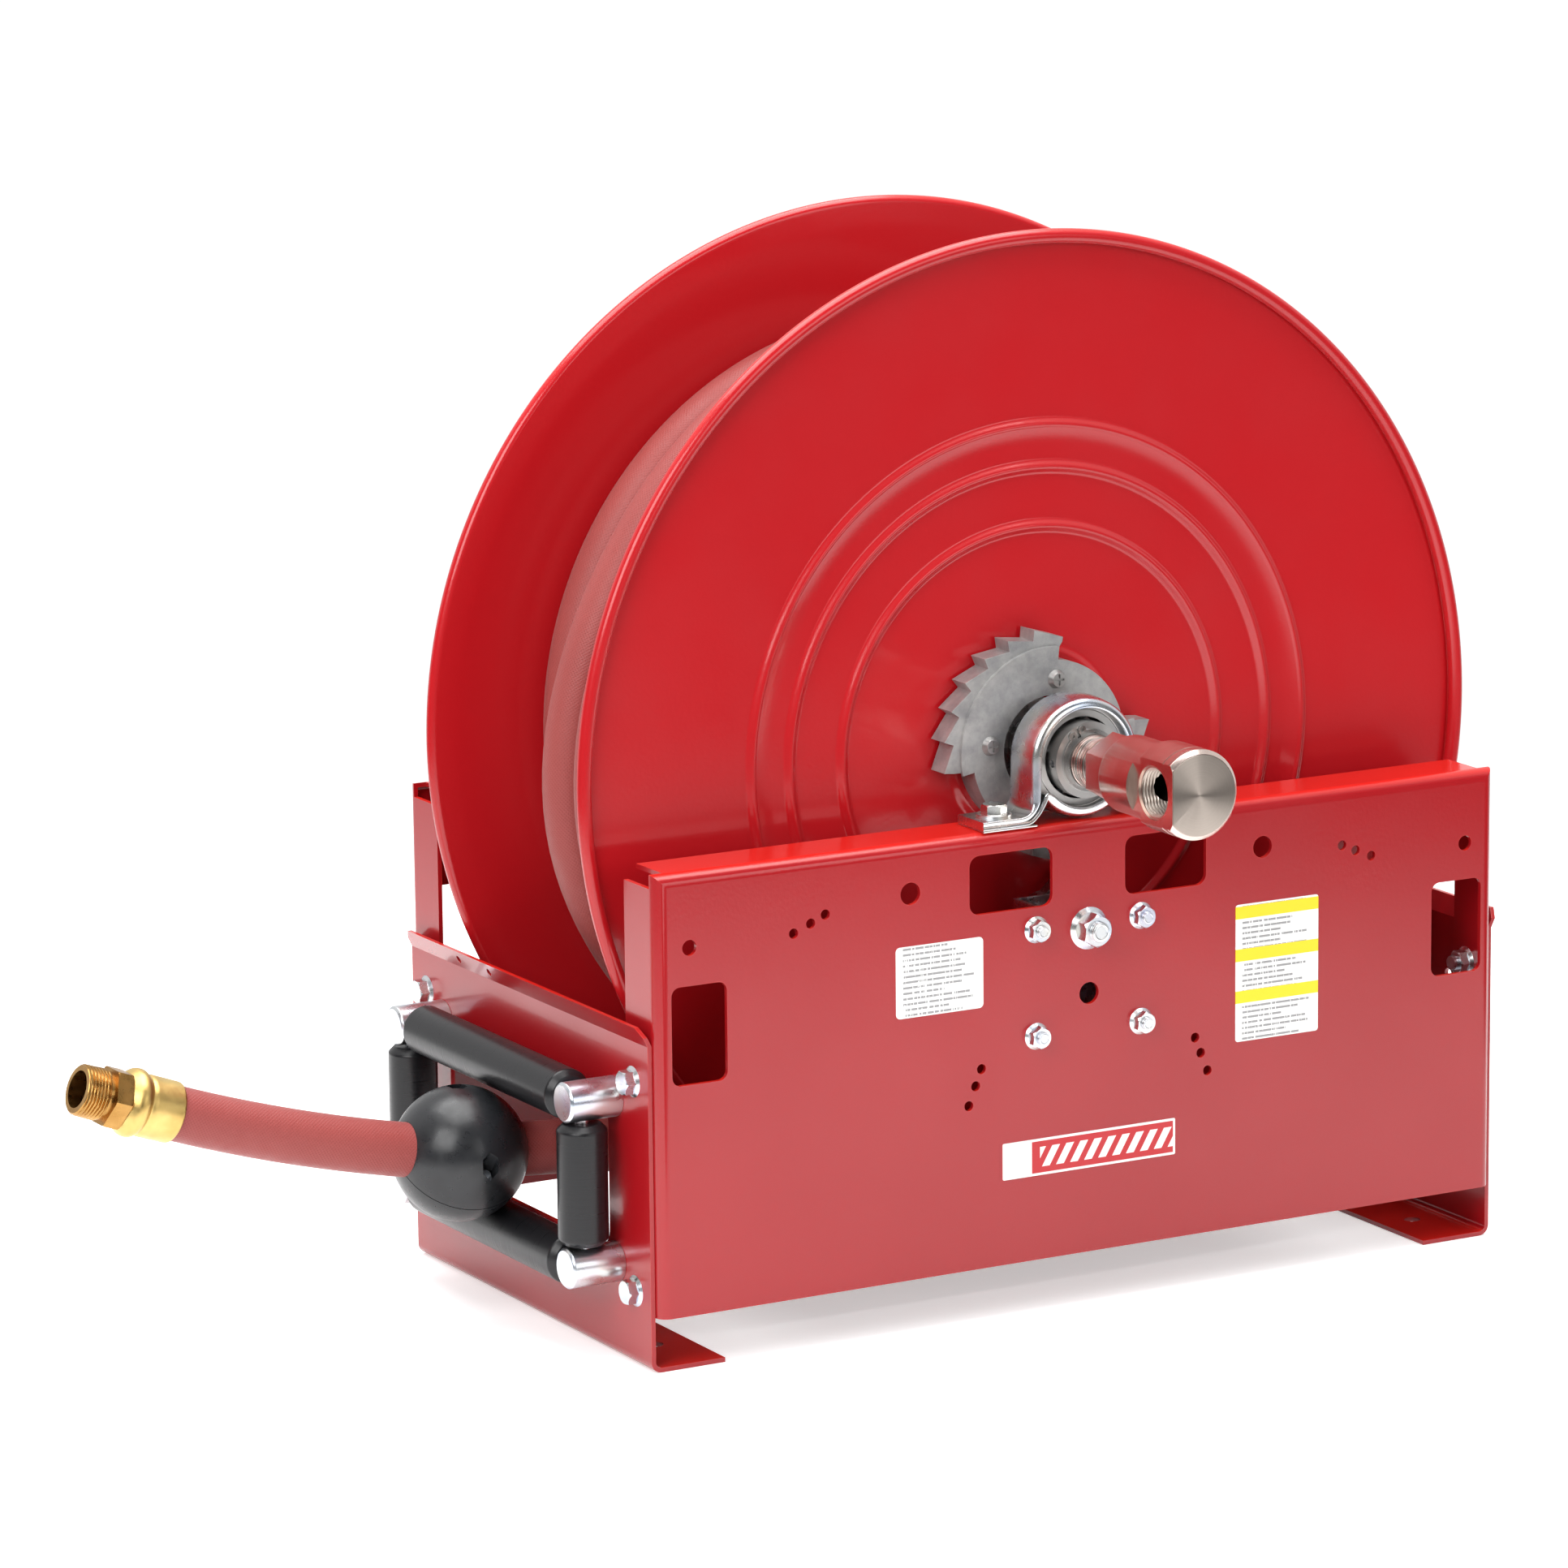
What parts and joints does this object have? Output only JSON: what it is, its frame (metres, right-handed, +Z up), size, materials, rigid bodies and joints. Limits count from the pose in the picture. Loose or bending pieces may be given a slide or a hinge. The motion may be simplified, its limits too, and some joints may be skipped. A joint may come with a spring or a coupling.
{
  "type": "spring rewind hose reel",
  "caption": "Floor-standing spring-rewind hose reel: sheet drum on a folded frame, roller hose guide with stop ball, ratchet latch and swivel inlet.",
  "frame": {"origin": "on the floor under the middle of the drum", "axes": "+X along the side panels, hose guide at -X; +Y along the drum's shaft, inlet swivel at -Y; +Z up"},
  "size_m": [0.9637, 0.486, 0.687],
  "materials": {
    "frame_paint": "gloss powder coat",
    "drum_paint": "gloss powder coat",
    "zinc": "bright zinc plate",
    "bearing_steel": "ground",
    "dark_steel": "black oxide",
    "shaft_steel": "turned",
    "swivel_nickel": "nickel plate, turned face",
    "seal_rubber": "matte",
    "cast_aluminium": "cast",
    "cast_iron": "painted casting",
    "bronze": "sintered",
    "brass": "turned",
    "hose_rubber": "matte, woven pattern",
    "ball_rubber": "moulded",
    "roller_plastic": "turned",
    "label_white": "printed film"
  },
  "bodies": {
    "frame": {"front_side_panel": "frame_paint", "rear_side_panel": "frame_paint", "roller_end_plate": "frame_paint", "plain_end_plate": "frame_paint", "end_plate_bolts": "zinc", "end_plate_nuts": "zinc", "bearing_housing_upper": "zinc", "bearing_housing_lower": "zinc", "bearing_backing_plate": "zinc", "foot_bolts": "zinc", "foot_nuts": "zinc", "bracket_bolts": "zinc", "bracket_nuts": "zinc", "pawl_pivot_bolt": "zinc", "pawl_pivot_nut": "zinc", "roller_posts": "zinc", "post_screws": "zinc", "roller_axles": "zinc", "pawl_bracket": "zinc", "arbor_pin": "zinc", "bearing_outer_ring": "bearing_steel", "bearing_shields": "bearing_steel", "bearing_balls": "bearing_steel", "pawl_spring": "dark_steel", "spring_arbor": "shaft_steel", "rear_pedestal": "cast_iron", "rating_label": "label_white", "safety_label": "label_white", "name_strip": "label_white"},
    "drum": {"bearing_inner_ring": "bearing_steel", "bearing_set_screw": "dark_steel", "shaft_circlip": "dark_steel", "main_shaft": "shaft_steel", "outlet_pipe": "shaft_steel", "front_hub": "shaft_steel", "front_disc": "drum_paint", "rear_disc": "drum_paint", "drum_barrel": "drum_paint", "ratchet_ring": "cast_aluminium", "ratchet_screws": "zinc", "hose_wound": "hose_rubber", "spring_case": "drum_paint", "spring_case_cover": "drum_paint", "drum_bushes": "bronze", "case_screws": "zinc", "power_spring": "dark_steel", "swivel_stem": "swivel_nickel"},
    "swivel": {"swivel_body": "swivel_nickel", "swivel_seals": "seal_rubber"},
    "latch": {"pawl": "shaft_steel"},
    "upper_roller_body": {"upper_roller": "roller_plastic"},
    "lower_roller_body": {"lower_roller": "roller_plastic"},
    "front_roller_body": {"front_roller": "roller_plastic"},
    "rear_roller_body": {"rear_roller": "roller_plastic"},
    "hose_end": {"hose_lead": "hose_rubber", "hose_ferrule": "brass", "hose_coupling": "brass", "stop_ball_upper": "ball_rubber", "stop_ball_lower": "ball_rubber", "stop_ball_bolts": "zinc"}
  },
  "joints": [
    {"name": "hose_pull", "type": "slide", "parent": "frame", "child": "hose_end", "axis": [-0.9973, 0, 0.0731], "range_m": [0, 0.15]},
    {"name": "drum_spin", "type": "hinge", "parent": "frame", "child": "drum", "pos_m": [0, 0, 0.357], "axis": [0, 1, 0], "range_deg": [0, 4320], "deforming": ["power_spring"]},
    {"name": "swivel_turn", "type": "hinge", "parent": "frame", "child": "swivel", "pos_m": [0, -0.25, 0.357], "axis": [0, 1, 0], "continuous": true},
    {"name": "pawl_pivot", "type": "hinge", "parent": "frame", "child": "latch", "pos_m": [0, -0.1145, 0.2479], "axis": [0, 1, 0], "range_deg": [-9, 14], "deforming": ["pawl_spring"]},
    {"name": "upper_roller_spin", "type": "hinge", "parent": "frame", "child": "upper_roller_body", "pos_m": [-0.338, 0, 0.1688], "axis": [0, 1, 0], "continuous": true},
    {"name": "lower_roller_spin", "type": "hinge", "parent": "frame", "child": "lower_roller_body", "pos_m": [-0.338, 0, 0.0623], "axis": [0, 1, 0], "continuous": true},
    {"name": "front_roller_spin", "type": "hinge", "parent": "frame", "child": "front_roller_body", "pos_m": [-0.338, -0.1185, 0.11555], "axis": [0, 0, 1], "continuous": true},
    {"name": "rear_roller_spin", "type": "hinge", "parent": "frame", "child": "rear_roller_body", "pos_m": [-0.338, 0.1185, 0.11555], "axis": [0, 0, 1], "continuous": true}
  ],
  "couplings": [
    {"joint": "drum_spin", "follows": "hose_pull", "rad_per_m": 3.7175}
  ]
}
